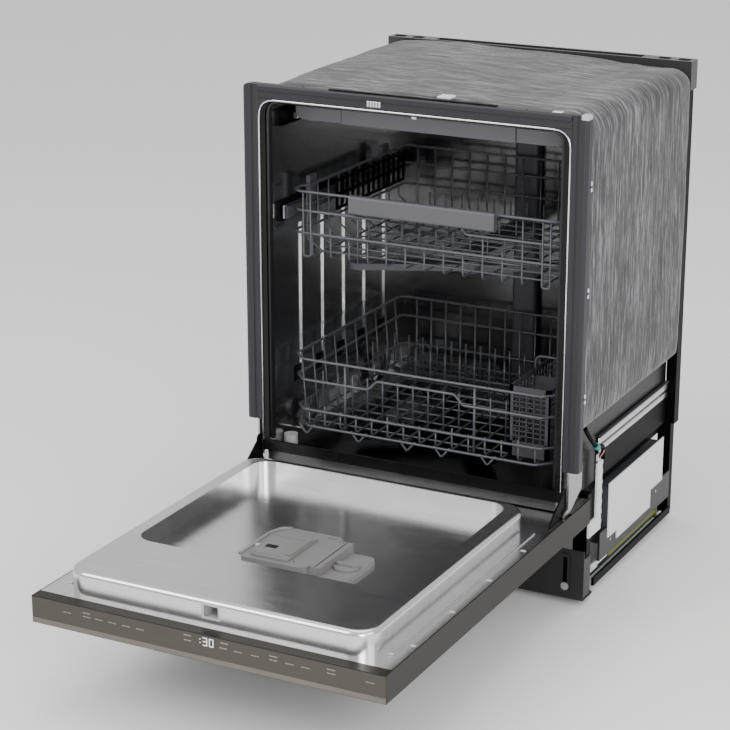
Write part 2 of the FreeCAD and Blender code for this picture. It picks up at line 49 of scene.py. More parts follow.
# Driving sizes in mm, in the same coordinates as the CAD.
TRIM_HALF = 309.0
TRIM_CORNER = 10.0
TRIM_INNER = 281.0
FRAME_TOP = 848.0
DOOR_EDGE_Y = -662.0
DOOR_STRIP_HALF = 297.0
DISPENSER_FACE = 216.9
SKIRT_Y = (162, 498)
BOX_SIDE_X = 289.1
KICK_FACE_Y = 61.6

# The view: lens in mm, and the places of the camera and of its aim.
LENS = 107.7
CAMERA_SPOT = (1529.4, -3093.6, 1517.6)
CAMERA_AIM = (-40.6, -75.6, 416.8)


def at(x, y, z):
    return Vector((x * MM, y * MM + FACE_Y, z * MM))


# ------------------------------------------------------------------ camera, light, floor
def camera_and_light():
    """Long lens from the front right, soft studio lamps, a pale world and a plain floor."""
    data = bpy.data.cameras.new("camera")
    camera = bpy.data.objects.new("camera", data)
    bpy.context.scene.collection.objects.link(camera)
    data.lens = LENS
    data.sensor_width = 36
    data.clip_end = 50
    camera.location = at(*CAMERA_SPOT)
    aim = at(*CAMERA_AIM) - camera.location
    camera.rotation_euler = aim.to_track_quat("-Z", "Y").to_euler()
    bpy.context.scene.camera = camera

    world = bpy.data.worlds.new("studio")
    bpy.context.scene.world = world
    world.use_nodes = True
    tree = world.node_tree
    background = tree.nodes["Background"]
    coord = tree.nodes.new("ShaderNodeTexCoord")
    split = tree.nodes.new("ShaderNodeSeparateXYZ")
    ramp = tree.nodes.new("ShaderNodeValToRGB")
    tree.links.new(coord.outputs["Generated"], split.inputs[0])
    tree.links.new(split.outputs["Z"], ramp.inputs["Fac"])
    tree.links.new(ramp.outputs["Color"], background.inputs["Color"])
    ramp.color_ramp.elements[0].color = (0.80, 0.80, 0.80, 1)
    ramp.color_ramp.elements[1].color = (1.0, 1.0, 1.0, 1)
    background.inputs["Strength"].default_value = 1.0

    def area(name, spot, goal, size, power):
        light = bpy.data.lights.new(name, "AREA")
        light.shape = "RECTANGLE"
        light.size, light.size_y = size
        light.energy = power
        lamp = bpy.data.objects.new(name, light)
        bpy.context.scene.collection.objects.link(lamp)
        lamp.location = spot
        lamp.rotation_euler = (Vector(goal) - lamp.location).to_track_quat("-Z", "Y").to_euler()

    area("key_light", (-1.8, -2.6, 2.9), (0, 0, 0.4), (1.8, 1.8), 60)
    area("fill_light", (2.9, -0.9, 1.8), (0, 0.2, 0.5), (1.6, 2.0), 24)
    area("top_light", (0.0, 0.2, 3.2), (0, 0, 0.4), (2.4, 2.4), 30)
    area("mouth_light", (1.9, -2.4, 1.3), (-0.2, 0.2, 0.5), (1.0, 1.4), 45)

    bpy.ops.mesh.primitive_plane_add(size=30, location=(0, 0, -0.0005))
    floor = bpy.context.object
    floor.name = "floor"
    floor.data.materials.append(plain_floor())


# ------------------------------------------------------------------ materials
def new_material(name):
    material = bpy.data.materials.new(name)
    material.use_nodes = True
    tree = material.node_tree
    return material, tree, tree.nodes["Principled BSDF"]


def add(tree, kind, **values):
    node = tree.nodes.new(kind)
    for key, value in values.items():
        if key in node.inputs:
            node.inputs[key].default_value = value
        else:
            setattr(node, key, value)
    return node


def plain_floor():
    material, tree, shader = new_material("floor")
    shader.inputs["Base Color"].default_value = (0.93, 0.93, 0.93, 1)
    shader.inputs["Roughness"].default_value = 0.9
    return material


def finish_material(name, dark, light, rough=(0.35, 0.5), metallic=0.0, grain=(1, 1, 1), scale=60,
                    bump=0.05, distance=0.0004, coat=0.0, specular=0.5, patches=0.35):
    """Two-tone surface: fine grain, stretched by grain, over broad soft patches."""
    material, tree, shader = new_material(name)
    coord = add(tree, "ShaderNodeTexCoord")
    stretch = add(tree, "ShaderNodeMapping", Scale=grain)
    tree.links.new(coord.outputs["Object"], stretch.inputs["Vector"])
    fine = add(tree, "ShaderNodeTexNoise", Scale=scale, Detail=6.0, Roughness=0.6)
    tree.links.new(stretch.outputs["Vector"], fine.inputs["Vector"])
    broad = add(tree, "ShaderNodeTexNoise", Scale=5.0, Detail=2.0)
    tree.links.new(coord.outputs["Object"], broad.inputs["Vector"])
    blend = add(tree, "ShaderNodeMix", data_type="FLOAT")
    blend.inputs[0].default_value = patches
    tree.links.new(fine.outputs["Fac"], blend.inputs[2])
    tree.links.new(broad.outputs["Fac"], blend.inputs[3])
    tone = add(tree, "ShaderNodeValToRGB")
    tone.color_ramp.elements[0].position = 0.3
    tone.color_ramp.elements[0].color = (*dark, 1)
    tone.color_ramp.elements[1].position = 0.7
    tone.color_ramp.elements[1].color = (*light, 1)
    tree.links.new(blend.outputs[0], tone.inputs["Fac"])
    tree.links.new(tone.outputs["Color"], shader.inputs["Base Color"])
    gloss = add(tree, "ShaderNodeMapRange", **{"From Min": 0.3, "From Max": 0.7, "To Min": rough[0],
                                               "To Max": rough[1]})
    tree.links.new(blend.outputs[0], gloss.inputs["Value"])
    tree.links.new(gloss.outputs["Result"], shader.inputs["Roughness"])
    relief = add(tree, "ShaderNodeBump", Strength=bump, Distance=distance)
    tree.links.new(fine.outputs["Fac"], relief.inputs["Height"])
    tree.links.new(relief.outputs["Normal"], shader.inputs["Normal"])
    shader.inputs["Metallic"].default_value = metallic
    shader.inputs["Coat Weight"].default_value = coat
    shader.inputs["Specular IOR Level"].default_value = specular
    return material


def felt_material():
    """Heather gray felt: long streaks that follow the wrap, from the sheet's own UV."""
    material, tree, shader = new_material("heather_felt")
    coord = add(tree, "ShaderNodeTexCoord")

    def streak(scale_along, scale_across, detail, distortion=0.0):
        stretch = add(tree, "ShaderNodeMapping", Scale=(scale_along, scale_across, 1))
        tree.links.new(coord.outputs["UV"], stretch.inputs["Vector"])
        streaks = add(tree, "ShaderNodeTexNoise", Scale=1.0, Detail=detail, Roughness=0.65,
                      Distortion=distortion)
        tree.links.new(stretch.outputs["Vector"], streaks.inputs["Vector"])
        return streaks.outputs["Fac"]

    long_streaks = streak(11, 150, 4.0, 0.3)
    short_streaks = streak(38, 420, 3.0)
    clouds = streak(5, 9, 2.0)
    blend = add(tree, "ShaderNodeMix", data_type="FLOAT")
    blend.inputs[0].default_value = 0.42
    tree.links.new(long_streaks, blend.inputs[2])
    tree.links.new(short_streaks, blend.inputs[3])
    cloudy = add(tree, "ShaderNodeMix", data_type="FLOAT")
    cloudy.inputs[0].default_value = 0.14
    tree.links.new(blend.outputs[0], cloudy.inputs[2])
    tree.links.new(clouds, cloudy.inputs[3])
    tone = add(tree, "ShaderNodeValToRGB")
    tone.color_ramp.elements[0].position = 0.41
    tone.color_ramp.elements[0].color = (0.004, 0.004, 0.005, 1)
    tone.color_ramp.elements[1].position = 0.61
    tone.color_ramp.elements[1].color = (0.24, 0.24, 0.252, 1)
    middle = tone.color_ramp.elements.new(0.50)
    middle.color = (0.040, 0.040, 0.043, 1)
    tree.links.new(cloudy.outputs[0], tone.inputs["Fac"])
    tree.links.new(tone.outputs["Color"], shader.inputs["Base Color"])
    shader.inputs["Roughness"].default_value = 0.95
    shader.inputs["Sheen Weight"].default_value = 0.25
    shader.inputs["Specular IOR Level"].default_value = 0.15
    relief = add(tree, "ShaderNodeBump", Strength=0.55, Distance=0.0012)
    tree.links.new(blend.outputs[0], relief.inputs["Height"])
    tree.links.new(relief.outputs["Normal"], shader.inputs["Normal"])
    return material


def lit_material():
    """Lit segments of the display."""
    material, tree, shader = new_material("display_light")
    coord = add(tree, "ShaderNodeTexCoord")
    grain = add(tree, "ShaderNodeTexNoise", Scale=400.0)
    tree.links.new(coord.outputs["Object"], grain.inputs["Vector"])
    tone = add(tree, "ShaderNodeValToRGB")
    tone.color_ramp.elements[0].color = (0.75, 0.78, 0.80, 1)
    tone.color_ramp.elements[1].color = (0.90, 0.92, 0.94, 1)
    tree.links.new(grain.outputs["Fac"], tone.inputs["Fac"])
    tree.links.new(tone.outputs["Color"], shader.inputs["Base Color"])
    shader.inputs["Roughness"].default_value = 0.4
    shader.inputs["Emission Color"].default_value = (0.9, 0.95, 1.0, 1)
    shader.inputs["Emission Strength"].default_value = 0.35
    return material


def gray(value, tint=(1.0, 1.0, 1.0)):
    """A gray of this value, shifted by a tint."""
    return tuple(value * t for t in tint)


def make_materials():
    cool = (0.93, 0.98, 1.12)
    warm = (1.10, 1.0, 0.82)
    violet = (1.02, 0.96, 1.20)
    bronze = (1.25, 1.0, 0.72)
    pale_violet = (1.0, 0.97, 1.10)
    putty = (1.02, 1.0, 0.99)
    return {
        "liner": finish_material("bright_steel", gray(0.66), gray(0.74), (0.19, 0.26), 1.0, (1, 6, 3), 12,
                                 0.01, 0.0001),
        "tub": finish_material("tub_steel", gray(0.62), gray(0.74), (0.16, 0.24), 1.0, (2, 2, 6), 8,
                               0.0, 0.0001),
        "tub_dark": finish_material("shaded_steel", gray(0.10), gray(0.14), (0.18, 0.28), 1.0, (2, 2, 8), 12,
                                    0.01, 0.0001),
        "zinc": finish_material("zinc_steel", gray(0.40), gray(0.55), (0.30, 0.42), 1.0, (3, 3, 3), 90),
        "chrome": finish_material("bright_edge", gray(0.75), gray(0.85), (0.10, 0.18), 1.0, (1, 1, 8), 60,
                                  0.01),
        "trim": finish_material("violet_gray_trim", gray(0.019, violet), gray(0.025, violet), (0.38, 0.46),
                                0.0, (1, 1, 1), 300, 0.06, 0.0001, 0.0, 0.35),
        "black_frame": finish_material("black_enamel", gray(0.004), gray(0.006), (0.25, 0.34), 0.0, (1, 1, 1),
                                       60, 0.01, 0.0001, 0.0, 0.22),
        "gasket": finish_material("seal_rubber", gray(0.006), gray(0.011), (0.38, 0.55), 0.0, (1, 1, 1), 250),
        "black": finish_material("black_moulding", gray(0.002), gray(0.003), (0.34, 0.44), 0.0, (1, 1, 1),
                                 350, 0.08, 0.0002, 0.0, 0.05),
        "bar": finish_material("bar_moulding", gray(0.022), gray(0.030), (0.24, 0.32), 0.0, (1, 1, 1), 350,
                               0.05, 0.0001, 0.0, 0.5),
        "white": finish_material("white_moulding", gray(0.72), gray(0.80), (0.35, 0.45), 0.0, (1, 1, 1), 200),
        "sheet": finish_material("white_sheet", gray(0.74), gray(0.80), (0.32, 0.42), 0.0, (1, 6, 1), 60),
        "pale_gray": finish_material("pale_gray_moulding", gray(0.42), gray(0.50), (0.38, 0.5)),
        "sleeve": finish_material("green_sleeve", (0.080, 0.090, 0.012), (0.12, 0.135, 0.020), (0.35, 0.5),
                                  0.0, (1, 20, 1), 40, 0.2, 0.0004),
        "skin": finish_material("bronze_black_skin", gray(0.009, bronze), gray(0.013, bronze), (0.34, 0.42),
                                0.0, (1, 40, 40), 20, 0.04, 0.0002, 0.0, 0.2),
        "strip": finish_material("bronze_strip", gray(0.060, warm), gray(0.072, warm), (0.32, 0.40), 0.6,
                                 (1, 60, 60), 20, 0.03, 0.0002),
        "smoked": finish_material("smoked_window", gray(0.055, warm), gray(0.07, warm), (0.12, 0.18), 0.2,
                                  (1, 1, 1), 120, 0.01, 0.0001, 0.6),
        "dispenser": finish_material("dispenser_moulding", gray(0.165, putty), gray(0.195, putty),
                                     (0.38, 0.5), 0.0, (1, 1, 1), 250, 0.1, 0.0002),
        "wire": finish_material("nylon_wire", gray(0.062, cool), gray(0.085, cool), (0.24, 0.34), 0.0,
                                (1, 1, 1), 250, 0.08, 0.0002, 0.15),
        "rack_bar": finish_material("rack_bar_moulding", gray(0.078, pale_violet), gray(0.094, pale_violet),
                                    (0.34, 0.44), 0.0, (1, 1, 1), 300, 0.08, 0.0002),
        "basket": finish_material("basket_moulding", gray(0.045, violet), gray(0.060, violet), (0.34, 0.46),
                                  0.0, (1, 1, 1), 300, 0.1, 0.0002),
        "blue": finish_material("blue_print", (0.02, 0.05, 0.35), (0.03, 0.07, 0.45), (0.4, 0.5)),
        "pink": finish_material("pink_lead", (0.45, 0.22, 0.20), (0.55, 0.28, 0.25), (0.4, 0.5)),
        "teal": finish_material("teal_tie", (0.02, 0.22, 0.20), (0.03, 0.30, 0.28), (0.4, 0.5)),
        "brown": finish_material("brown_lead", (0.12, 0.06, 0.03), (0.16, 0.08, 0.04), (0.4, 0.5)),
        "mark_band": finish_material("strip_band", gray(0.12, warm), gray(0.15, warm), (0.3, 0.4), 0.4,
                                     (1, 30, 30), 20, 0.02, 0.0001),
        # Painted shade: near-black moulding for parts that sit in shade. It is used in the tub skirt's
        # groove, along the control box's lower edge and on the toe kick returns.
        "case_gray": finish_material("case_moulding", gray(0.046, cool), gray(0.056, cool), (0.34, 0.44)),
        "shadow_dark": finish_material("shadow_moulding", gray(0.010), gray(0.014), (0.34, 0.44)),
        "kick": finish_material("kick_enamel", gray(0.005), gray(0.008), (0.34, 0.44)),
        "smoked_black": finish_material("slot_window", gray(0.02, cool), gray(0.03, cool), (0.1, 0.2)),
        "mark": finish_material("printed_mark", gray(0.22, warm), gray(0.28, warm), (0.4, 0.5)),
        "lit": lit_material(),
        "felt": felt_material(),
    }


CAD_NODES = {
    "tub": ("tub_wrap",),
    "tub_dark": ("tub_back", "tub_floor"),
    "black_frame": ("front_frame",),
    "trim": ("side_trims", "top_trim"),
    "gasket": ("door_gasket",),
    "chrome": ("latch_strike",),
    "zinc": ("hinge_brackets", "toe_kick_screws", "upper_mid_rails"),
    "black": ("hinge_arms", "rear_posts", "base_frame", "sump", "sump_cover", "circulation_pump",
              "drain_pump", "wiring_harness", "wall_rails", "pocket_handle", "cup_shelf",
              "lower_spray_arm", "filter", "front_left_foot", "front_right_foot", "rear_foot"),
    "felt": ("sound_blanket", "door_insulation"),
    "bar": ("rear_brace_bar",),
    "kick": ("toe_kick",),
    "sleeve": ("spring_sleeves",),
    "white": ("spring_links", "water_inlet_valve", "wiring_bracket"),
    "case_gray": ("control_box",),
    "sheet": ("control_box_cover",),
    "basket": ("rear_water_duct", "lower_front_wheels", "lower_rear_wheels", "cutlery_basket",
               "upper_inner_rails", "upper_spray_feed", "upper_spray_arm"),
    "skin": ("door_outer_panel", "control_panel"),
    "liner": ("door_inner_liner",),
    "smoked": ("control_display",),
    "dispenser": ("dispenser_body", "detergent_lid", "rinse_aid_cap"),
    "pale_gray": ("dispenser_button", "door_latch", "float"),
    "wire": ("lower_rack", "lower_tine_row", "upper_rack", "third_rack"),
    "rack_bar": ("upper_rack_handle", "third_rack_bar"),
}


def dress_cad():
    """Finish of each CAD node, by its name."""
    for finish, names in CAD_NODES.items():
        for name in names:
            NODES[name].data.materials.clear()
            NODES[name].data.materials.append(MATERIALS[finish])


# ------------------------------------------------------------------ mesh helpers
def piece(name, mesh, finish, body, *replaced):
    """An object made of mesh that rides on a CAD body, and stands for the replaced nodes."""
    obj = bpy.data.objects.new(name, mesh)
    bpy.context.scene.collection.objects.link(obj)
    mesh.materials.append(MATERIALS[finish])
    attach(obj, body)
    if replaced:
        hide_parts(*replaced)
    return obj


def mesh_from(name, verts, faces, smooth=True):
    mesh = bpy.data.meshes.new(name)
    mesh.from_pydata([tuple(v) for v in verts], [], faces)
    mesh.polygons.foreach_set("use_smooth", [smooth] * len(mesh.polygons))
    mesh.update()
    return mesh


def rounded(points, radius, steps=5):
    """Polyline with each corner turned into an arc."""
    out = [points[0]]
    for before, corner, after in zip(points, points[1:], points[2:]):
        a = before - corner
        b = after - corner
        turn = math.pi - a.angle(b)
        if turn < 0.02:
            out.append(corner)
            continue
        trim = min(radius * math.tan(turn / 2), 0.48 * a.length, 0.48 * b.length)
        start = corner + a.normalized() * trim
        end = corner + b.normalized() * trim
        for i in range(steps + 1):
            t = i / steps
            out.append(start.lerp(corner, t).lerp(corner.lerp(end, t), t))
    out.append(points[-1])
    return out


class Tubes:
    """Collects round wires into one mesh."""

    def __init__(self, radius, sides=8):
        self.radius = radius
        self.sides = sides
        self.verts = []
        self.faces = []

    def run(self, points, radius=None, closed=False):
        radius = radius or self.radius
        count = len(points)
        first = len(self.verts)
        normal = None
        for i, point in enumerate(points):
            if closed:
                along = (points[(i + 1) % count] - points[i - 1]).normalized()
            else:
                along = (points[min(i + 1, count - 1)] - points[max(i - 1, 0)]).normalized()
            if normal is None:
                normal = along.orthogonal().normalized()
            normal = (normal - along * normal.dot(along)).normalized()
            side = along.cross(normal)
            for k in range(self.sides):
                angle = 2 * math.pi * k / self.sides
                self.verts.append(point + radius * (math.cos(angle) * normal + math.sin(angle) * side))
        rings = count if closed else count - 1
        for i in range(rings):
            a = first + i * self.sides
            b = first + ((i + 1) % count) * self.sides
            for k in range(self.sides):
                n = (k + 1) % self.sides
                self.faces.append((a + k, a + n, b + n, b + k))
        if not closed:
            self.faces.append(tuple(first + k for k in reversed(range(self.sides))))
            last = first + (count - 1) * self.sides
            self.faces.append(tuple(last + k for k in range(self.sides)))

    def bent(self, points, bend=0.008, closed=False):
        if closed:
            middle = points[0].lerp(points[-1], 0.5)
            loop = rounded([middle] + points + [middle], bend)
            self.run(loop[:-1], closed=True)
        else:
            self.run(rounded(points, bend))

    def mesh(self, name):
        return mesh_from(name, self.verts, self.faces)


def extruded(name, outline, depth):
    """Closed prism: outline is a list of points of one planar loop, depth the vector it is swept by."""
    bm = bmesh.new()
    ring = [bm.verts.new(p) for p in outline]
    face = bm.faces.new(ring)
    result = bmesh.ops.extrude_face_region(bm, geom=[face])
    moved = [g for g in result["geom"] if isinstance(g, bmesh.types.BMVert)]
    bmesh.ops.translate(bm, verts=moved, vec=depth)
    bmesh.ops.recalc_face_normals(bm, faces=bm.faces)
    mesh = bpy.data.meshes.new(name)
    bm.to_mesh(mesh)
    bm.free()
    return mesh


def soften(obj, width, segments=2, angle=0.6):
    """Small rounded edges, as moulded and pressed parts have."""
    bevel = obj.modifiers.new("soft_edges", "BEVEL")
    bevel.width = width
    bevel.segments = segments
    bevel.limit_method = "ANGLE"
    bevel.angle_limit = angle
    bevel.harden_normals = False
    return obj


# ------------------------------------------------------------------ felt jacket
JACKET_HALF = 299.0
JACKET_TOP = 846.0
JACKET_FOOT = 323.0
JACKET_FRONT = 17.0
JACKET_REAR = 505.0
FELT_T = 5.0
# Soft creases over the top: where each crosses the middle depth, its slope, its width and its depth.
TOP_CREASES = ((150, 0.22, 16, 1.5), (205, 0.12, 11, 1.3), (60, 0.36, 24, 1.2), (-120, -0.2, 22, 1.1))


def smooth(t):
    t = min(1.0, max(0.0, t))
    return t * t * (3 - 2 * t)


def half_outline(half, corner, steps_side, steps_corner, steps_top):
    """Points and outward normals of half the wrap's cross-section, hem to middle, on the left."""
    points = []
    for i in range(steps_side):
        z = JACKET_FOOT + (JACKET_TOP - corner - JACKET_FOOT) * i / steps_side
        points.append((-half, z, -1.0, 0.0))
    for i in range(steps_corner):
        angle = math.pi / 2 * i / steps_corner
        points.append((-half + corner - corner * math.cos(angle),
                       JACKET_TOP - corner + corner * math.sin(angle), -math.cos(angle), math.sin(angle)))
    half_top = half - corner
    for i in range(steps_top + 1):
        points.append((-half_top + half_top * i / steps_top, JACKET_TOP, 0.0, 1.0))
    return points


def jacket_outline(back):
    """The wrap's cross-section: its left shoulder is slack at the front, its right one at the rear."""
    half = JACKET_HALF - 5 * back * back
    left = half_outline(half, 34 + 22 * (1 - back) ** 2, 56, 16, 40)
    right = half_outline(half, 40 - 6 * back, 56, 16, 40)
    return left + [(-x, z, -nx, nz) for x, z, nx, nz in reversed(right[:-1])]


def felt_jacket():
    """One felt sheet wrapped over the tub: slack on top, pinched by pleats along the rear shoulder."""
    rows = 84
    verts = []
    arcs = []
    for j in range(rows + 1):
        back = j / rows
        y = JACKET_FRONT + (JACKET_REAR - JACKET_FRONT) * back
        outline = jacket_outline(back)
        length = 0.0
        before = None
        for x, z, nx, nz in outline:
            flat = Vector((x, z))
            length += (flat - before).length if before else 0.0
            before = flat
            side = abs(x) / JACKET_HALF
            lump = noise.noise(Vector((x * 0.006, y * 0.008, z * 0.006 + 3.0)))
            fine = noise.noise(Vector((x * 0.02, y * 0.03, z * 0.02 + 9.0)))
            push = 1.8 * lump + 0.8 * fine + 0.6
            shoulder = max(0.0, 1 - abs(z - JACKET_TOP + 18) / 60) * max(0.0, (side - 0.78) / 0.22)
            gathers = 0.5 + 0.5 * math.tanh(3 * noise.noise(Vector((5.0, y * 0.011, x * 0.002))))
            pleat = math.sin(y * 0.15 + 3.5 * noise.noise(Vector((x * 0.004, y * 0.02, 1.0))))
            push += shoulder * gathers * (1.4 * abs(pleat) - 0.9)
            for start, slope, spread_mm, depth in TOP_CREASES:
                line = x - start - slope * (y - 200)
                push -= depth * math.exp(-(line / spread_mm) ** 2) * max(0.0, nz) * smooth(y / 140)
            right = smooth((x - 40) / 230) * max(0.0, nz)
            left = smooth((x + 285) / 120) * smooth((90 - x) / 260) * max(0.0, nz)
            sag = 7.5 * right * back ** 2 - 5.5 * left * smooth(back * 1.6)
            sag += 4.0 * max(0.0, 1 - back * 14) * max(0.0, nz)
            hem = max(0.0, 1 - (z - JACKET_FOOT) / 45) if nz < 0.5 else 0.0
            push -= 3.0 * hem * hem
            limit = min(push, 2.8)
            verts.append(at(x + nx * limit, y, z + nz * limit - sag))
            arcs.append((length, y))
    width = len(verts) // (rows + 1)
    faces = []
    for j in range(rows):
        for i in range(width - 1):
            a = j * width + i
            faces.append((a, a + 1, a + width + 1, a + width))
    mesh = mesh_from("felt_jacket", verts, faces)
    uv = mesh.uv_layers.new(name="wrap")
    for loop in mesh.loops:
        length, y = arcs[loop.vertex_index]
        uv.data[loop.index].uv = (length * MM, y * MM)
    obj = piece("felt_jacket", mesh, "felt", "root", "sound_blanket")
    thick = obj.modifiers.new("felt_thickness", "SOLIDIFY")
    thick.thickness = FELT_T * MM
    thick.offset = -1.0


# ------------------------------------------------------------------ racks
def wire_loop(half, front_y, back_y, z, cut=0.0):
    """Corners of a level loop round a basket."""
    return [at(-half + cut, front_y, z), at(half - cut, front_y, z), at(half, front_y + cut, z),
            at(half, back_y, z), at(-half, back_y, z), at(-half, front_y + cut, z)]


def spread(first, last, count):
    return [first + (last - first) * i / (count - 1) for i in range(count)]


WIRE_R = 0.0024
THIN_R = 0.0017


def lower_rack():
    """Round-wire basket with a jogged front wire, fixed and folding tines, axles and wheel carriers."""
    half, front, back = 239.0, 43.0, 472.0
    top, middle, low_rail, base = 367.0, 330.0, 276.0, 246.0
    heavy = Tubes(WIRE_R)
    light = Tubes(THIN_R)
    wide = half + 10
    heavy.bent(wire_loop(wide, front, back, top, 26), 0.02, True)
    heavy.bent(wire_loop(half + 3, front, back, low_rail, 20), 0.02, True)
    heavy.bent(wire_loop(half, front, back, base, 26), 0.02, True)
    jog = [at(-wide + 26, front, middle), at(-96, front, middle), at(-80, front, middle + 17),
           at(66, front, middle + 17), at(82, front, middle), at(wide - 26, front, middle)]
    sides = [at(wide - 2, front + 24, middle), at(wide - 2, back, middle), at(-wide + 2, back, middle),
             at(-wide + 2, front + 24, middle)]
    heavy.bent(jog + sides, 0.012, True)
    for x in (-142, 102):
        heavy.run([at(x, front + 2.6, top + 1), at(x, front + 2.6, base)])
    for x in (-217, -115, -22, 43, 128):
        light.bent([at(x - 15, front + 1, base + 3), at(x, front - 0.4, base - 15),
                    at(x + 15, front + 1, base + 3)], 0.004)
    for i, x in enumerate(spread(-213, 213, 15)):
        rise = low_rail + (9 if i % 4 == 1 else 3)
        light.bent([at(x, front + 3.4, rise), at(x, front + 3.4, base + 0.6), at(x, back - 3.4, base + 0.6),
                    at(x, back - 3.4, top - 1)], 0.008)
    for y in spread(80, 440, 10):
        light.bent([at(-wide + 3, y, top - 1), at(-half, y, low_rail), at(-half + 3.4, y, base - 1.8),
                    at(half - 3.4, y, base - 1.8), at(half, y, low_rail), at(wide - 3, y, top - 1)], 0.008)
    obj = piece("lower_basket_wire", heavy.mesh("lower_basket_wire"), "wire", "lower_rack", "lower_rack")
    piece("lower_basket_ribs", light.mesh("lower_basket_ribs"), "wire", "lower_rack")
    tines = Tubes(THIN_R)
    pitch = 88 / 3
    for y, count in ((110, 13), (300, 16)):
        tine_pairs(tines, y, 250.2, 76, [-220 + pitch * i for i in range(count)])
    piece("lower_fixed_tines", tines.mesh("lower_fixed_tines"), "wire", "lower_rack")
    fold = Tubes(THIN_R)
    tine_pairs(fold, 390, 252.0, 66, [-220 + pitch * i for i in range(16)])
    obj = piece("lower_folding_tines", fold.mesh("lower_folding_tines"), "wire", "lower_tine_row",
                "lower_tine_row")
    carriers = Tubes(0.004, 12)
    for sign in (-1, 1):
        for y in (120, 400):
            carriers.run([at(sign * 240, y, 247), at(sign * 257.6, y, 247)])
            carriers.run([at(sign * 257.4, y, 247), at(sign * 258.0, y, 247)], 0.0055)
    piece("lower_axles", carriers.mesh("lower_axles"), "basket", "lower_rack")
    for sign, side in ((-1, "left"), (1, "right")):
        for y, place in ((120, "front"), (400, "rear")):
            outline = [at(sign * 241.5, y + dy, z) for dy, z in
                       ((-16, 262), (-12, 278), (12, 278), (16, 262), (9, 238), (-9, 238))]
            mesh = extruded("wheel_carrier", outline, Vector((sign * 0.0025, 0, 0)))
            obj = piece(f"wheel_carrier_{place}_{side}", mesh, "basket", "lower_rack")
            soften(obj, 0.0012)


def tine_pairs(tubes, y, z, height, lines):
    """A long rod with straight tines standing on it."""
    tubes.run([at(lines[0] - 4, y, z), at(lines[-1] + 4, y, z)], WIRE_R)
    for x in lines:
        tubes.bent([at(x, y, z), at(x, y, z + height * 0.6), at(x, y, z + height)], 0.01)


def upper_rack():
    """Basket that narrows behind its front corners, with sloped sides and rows of short tines."""
    half, front, back = 240.0, 56.0, 470.0
    top, second, third, base = 660.0, 627.0, 588.0, 544.0
    heavy = Tubes(WIRE_R)
    light = Tubes(THIN_R)
    wide = half + 10

    def rear_run(z):
        side = [(wide, front + 14), (wide, front + 34), (half, front + 48), (half, back)]
        return [at(x, y, z) for x, y in side + [(-x, y) for x, y in reversed(side)]]

    for z in (top, third):
        heavy.bent([at(-wide + 14, front, z), at(wide - 14, front, z)] + rear_run(z), 0.012, True)
    jog = [at(-wide + 14, front, second), at(-78, front, second), at(-66, front, second + 8),
           at(66, front, second + 8), at(78, front, second - 6), at(wide - 14, front, second - 6)]
    heavy.bent(jog + rear_run(second), 0.008, True)
    for i, x in enumerate(spread(-212, 212, 13)):
        rise = top - 1 if i in (9, 11) else third + (12 if i % 3 == 1 else 3)
        light.bent([at(x, front + 3.4, rise), at(x, front + 3.4, base + 3.4), at(x, back - 3.4, base + 3.4),
                    at(x, back - 3.4, top - 1)], 0.008)
    for y in spread(90, 440, 10):
        left = [(-half + 1.2, top - 1), (-half + 1.2, base + 26), (-half + 30, base + 6.6)]
        light.bent([at(x, y, z) for x, z in left + [(-x, z) for x, z in reversed(left)]], 0.01)
    for x in (-226, 214):
        light.bent([at(x, front - 2, top - 2), at(x, front - 2, base + 4), at(x + 14, front - 2, base + 4),
                    at(x + 14, front - 2, top - 2)], 0.005)
    heavy.run([at(-124, front + 2.6, top + 1), at(-124, front + 2.6, base)], THIN_R)
    obj = piece("upper_basket_wire", heavy.mesh("upper_basket_wire"), "wire", "upper_basket", "upper_rack")
    for y in (150, 270, 390):
        tine_pairs(light, y, 552.4, 44, [-150 + 32 * i for i in range(11)])
    piece("upper_basket_ribs", light.mesh("upper_basket_ribs"), "wire", "upper_basket")


def third_rack():
    """Shallow wire tray with its front bar and side runners."""
    half, front, back = 248.0, 80.0, 464.0
    top, base = 791.0, 776.5
    heavy = Tubes(WIRE_R)
    light = Tubes(THIN_R)
    heavy.bent(wire_loop(half, front, back, top, 16), 0.012, True)
    heavy.bent(wire_loop(half, front + 9, back, base, 16), 0.012, True)
    for x in spread(-222, 222, 17):
        light.bent([at(x, front + 12, top - 1), at(x, front + 12, base + 1), at(x, back - 3.4, base + 1),
                    at(x, back - 3.4, top - 1)], 0.006)
    for y in spread(112, 440, 8):
        left = [(-half + 3.4, top - 1), (-half + 3.4, base - 0.4)]
        light.bent([at(x, y, z) for x, z in left + [(-x, z) for x, z in reversed(left)]], 0.006)
    obj = piece("third_tray_wire", heavy.mesh("third_tray_wire"), "wire", "third_rack", "third_rack")
    piece("third_tray_ribs", light.mesh("third_tray_ribs"), "wire", "third_rack")
    block("third_tray_bar", (-158, 158), (63.2, 75), (779.5, 805.5), "rack_bar", "third_rack", 2.0,
          "third_rack_bar")
    for sign, side in ((-1, "left"), (1, "right")):
        outline = [at(sign * x, 65, z) for x, z in
                   ((158.8, 781), (232, 781), (240, 784), (245, 790), (245.6, 804), (158.8, 804))]
        end = extruded("third_tray_bar_end", outline, Vector((0, 0.010, 0)))
        soften(piece(f"third_tray_bar_{side}", end, "rack_bar", "third_rack"), 0.0012)
        outline = [at(sign * x, 82, z) for x, z in ((250, 778), (260, 778), (260, 788), (250, 788))]
        mesh = extruded("tray_runner", outline, Vector((0, 0.384, 0)))
        obj = soften(piece(f"tray_runner_{side}", mesh, "zinc", "third_rack"), 0.001)


